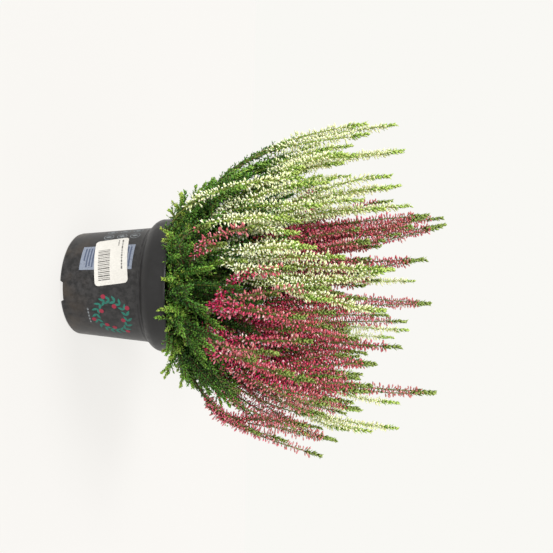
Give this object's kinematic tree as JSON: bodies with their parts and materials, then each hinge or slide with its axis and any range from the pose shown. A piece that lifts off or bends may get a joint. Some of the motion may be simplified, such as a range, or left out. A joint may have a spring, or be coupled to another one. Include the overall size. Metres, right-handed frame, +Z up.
{
  "type": "potted heather",
  "caption": "Upright heather plant of white and crimson flower spikes over dense green scale leaves, grown together in a round black nursery pot with a stepped collar and a paper label.",
  "frame": {"origin": "on the ground under the middle of the pot", "axes": "+Z up along the pot's axis; -Y is the front, where the label is; +X is to the right seen from the front"},
  "size_m": [0.2964, 0.2224, 0.3331],
  "materials": {
    "pot_plastic": "satin",
    "compost": "matte",
    "label_paper": "satin",
    "heather_wood": "matte",
    "heather_leaf": "matte",
    "white_flowers": "matte",
    "crimson_flowers": "matte",
    "printed_ink": "matte"
  },
  "bodies": {
    "root": {"pot": "pot_plastic", "soil": "compost", "label": "label_paper", "white_left_rootstock": "heather_wood", "white_left_shoot_1": "white_flowers", "white_left_shoot_2": "white_flowers", "white_left_shoot_3": "white_flowers", "white_left_shoot_4": "white_flowers", "white_left_shoot_5": "white_flowers", "white_left_shoot_6": "white_flowers", "white_left_shoot_7": "white_flowers", "white_left_shoot_8": "white_flowers", "white_left_shoot_9": "white_flowers", "white_left_shoot_10": "white_flowers", "white_left_shoot_11": "white_flowers", "white_left_shoot_12": "white_flowers", "white_left_shoot_13": "white_flowers", "white_left_shoot_14": "white_flowers", "white_left_sprig_1": "heather_leaf", "white_left_sprig_2": "heather_leaf", "pink_right_rootstock": "heather_wood", "pink_right_shoot_1": "crimson_flowers", "pink_right_shoot_2": "crimson_flowers", "pink_right_shoot_3": "crimson_flowers", "pink_right_shoot_4": "crimson_flowers", "pink_right_shoot_5": "crimson_flowers", "pink_right_shoot_6": "crimson_flowers", "pink_right_shoot_7": "crimson_flowers", "pink_right_shoot_8": "crimson_flowers", "pink_right_shoot_9": "crimson_flowers", "pink_right_shoot_10": "crimson_flowers", "pink_right_shoot_11": "crimson_flowers", "pink_right_shoot_12": "crimson_flowers", "pink_right_shoot_13": "crimson_flowers", "pink_right_shoot_14": "crimson_flowers", "pink_right_sprig_1": "heather_leaf", "pink_right_sprig_2": "heather_leaf", "pink_rear_rootstock": "heather_wood", "pink_rear_shoot_1": "crimson_flowers", "pink_rear_shoot_2": "crimson_flowers", "pink_rear_shoot_3": "crimson_flowers", "pink_rear_shoot_4": "crimson_flowers", "pink_rear_shoot_5": "crimson_flowers", "pink_rear_shoot_6": "crimson_flowers", "pink_rear_shoot_7": "crimson_flowers", "pink_rear_shoot_8": "crimson_flowers", "pink_rear_shoot_9": "crimson_flowers", "pink_rear_shoot_10": "crimson_flowers", "white_rear_rootstock": "heather_wood", "white_rear_shoot_1": "white_flowers", "white_rear_shoot_2": "white_flowers", "white_rear_shoot_3": "white_flowers", "white_rear_shoot_4": "white_flowers", "white_rear_shoot_5": "white_flowers", "white_rear_shoot_6": "white_flowers", "white_rear_shoot_7": "white_flowers", "white_rear_shoot_8": "white_flowers", "white_rear_shoot_9": "white_flowers", "white_rear_sprig_1": "heather_leaf"}
  },
  "joints": []
}
